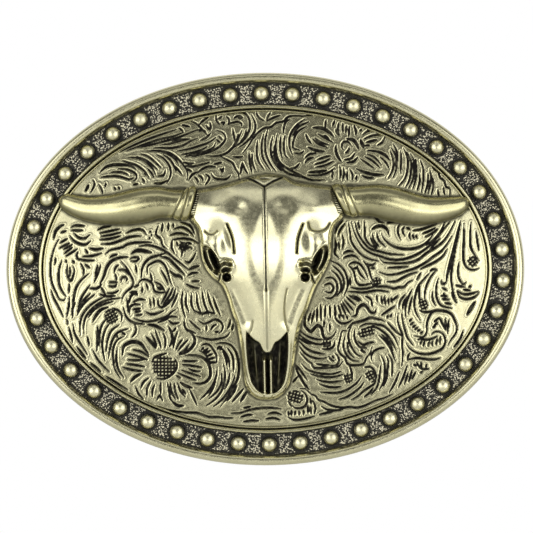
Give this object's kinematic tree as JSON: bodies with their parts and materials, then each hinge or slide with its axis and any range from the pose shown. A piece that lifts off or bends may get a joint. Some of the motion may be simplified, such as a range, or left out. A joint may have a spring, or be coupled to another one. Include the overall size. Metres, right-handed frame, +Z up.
{
  "type": "belt buckle",
  "caption": "Oval Western belt buckle with a longhorn skull in relief, a beaded border, a hinged strap bail and a fixed hook on the back.",
  "frame": {"origin": "centre of the back plate's rear face, which lies against the belt", "axes": "+X along the oval's width, to the right when its face is looked at; +Y from the face towards the wearer; +Z up"},
  "size_m": [0.095, 0.0214, 0.072],
  "materials": {
    "back_plate": "satin antique brass",
    "channel_band": "stippled and blackened, with bright specks of brass",
    "outer_rim": "fine brushed antique brass",
    "border_ring": "satin antique brass with black in the grooves",
    "engraved_plate": "engraved antique brass with black patina in the cuts",
    "skull": "polished antique brass with dark recesses",
    "horn": "polished antique brass",
    "skull_peg": "satin brass",
    "bail_lug": "satin antique brass",
    "bail_wire": "drawn brass wire, lightly brushed",
    "hook_foot": "satin antique brass",
    "hook_prong": "polished by wear",
    "bead": "polished dome, dark round its foot"
  },
  "bodies": {
    "buckle": {"back_plate": "back_plate", "channel_band": "channel_band", "outer_rim": "outer_rim", "border_ring": "border_ring", "engraved_plate": "engraved_plate", "skull": "skull", "horn_left": "horn", "horn_right": "horn", "skull_peg_top": "skull_peg", "skull_peg_bottom": "skull_peg", "bail_lug_top": "bail_lug", "bail_lug_bottom": "bail_lug", "hook_foot": "hook_foot", "hook_prong": "hook_prong", "bead_01": "bead", "bead_02": "bead", "bead_03": "bead", "bead_04": "bead", "bead_05": "bead", "bead_06": "bead", "bead_07": "bead", "bead_08": "bead", "bead_09": "bead", "bead_10": "bead", "bead_11": "bead", "bead_12": "bead", "bead_13": "bead", "bead_14": "bead", "bead_15": "bead", "bead_16": "bead", "bead_17": "bead", "bead_18": "bead", "bead_19": "bead", "bead_20": "bead", "bead_21": "bead", "bead_22": "bead", "bead_23": "bead", "bead_24": "bead", "bead_25": "bead", "bead_26": "bead", "bead_27": "bead", "bead_28": "bead", "bead_29": "bead", "bead_30": "bead", "bead_31": "bead", "bead_32": "bead", "bead_33": "bead", "bead_34": "bead", "bead_35": "bead", "bead_36": "bead", "bead_37": "bead", "bead_38": "bead", "bead_39": "bead", "bead_40": "bead", "bead_41": "bead", "bead_42": "bead"},
    "bail": {"bail_wire": "bail_wire"}
  },
  "joints": [
    {"name": "bail_swing", "type": "hinge", "parent": "buckle", "child": "bail", "pos_m": [0.02, 0.0027, 0], "axis": [0, 0, 1], "range_deg": [0, 180]}
  ]
}
